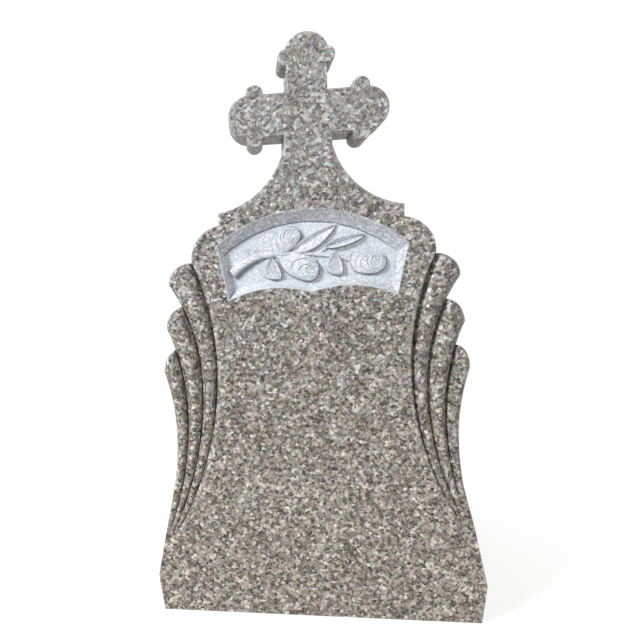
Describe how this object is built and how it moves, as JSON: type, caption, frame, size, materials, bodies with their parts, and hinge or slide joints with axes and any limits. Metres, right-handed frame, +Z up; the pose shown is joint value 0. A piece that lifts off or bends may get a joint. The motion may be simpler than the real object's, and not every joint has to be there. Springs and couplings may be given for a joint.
{
  "type": "granite grave monument",
  "caption": "Upright granite headstone slab with a concave gable and trefoil cross, fluted side rolls and a frosted arched panel carved with a rose spray.",
  "frame": {"origin": "middle of the slab's base, on the ground", "axes": "+Z up, +X to the right as seen from the front, the carved face looks along -Y"},
  "size_m": [0.7, 0.08, 1.25],
  "materials": {
    "polished_granite": "polished speckled granite",
    "frosted_granite": "fine frosted granite"
  },
  "bodies": {
    "root": {"stele": "polished_granite", "cross": "polished_granite", "left_inner_roll": "polished_granite", "left_middle_roll": "polished_granite", "left_outer_roll": "polished_granite", "right_inner_roll": "polished_granite", "right_middle_roll": "polished_granite", "right_outer_roll": "polished_granite", "frosted_panel": "frosted_granite", "rose_stem": "frosted_granite", "upper_rose": "frosted_granite", "lower_rose": "frosted_granite", "right_rose": "frosted_granite", "left_leaf": "frosted_granite", "top_left_leaf": "frosted_granite", "top_right_leaf": "frosted_granite", "lower_left_leaf": "frosted_granite", "lower_right_leaf": "frosted_granite"}
  },
  "joints": []
}
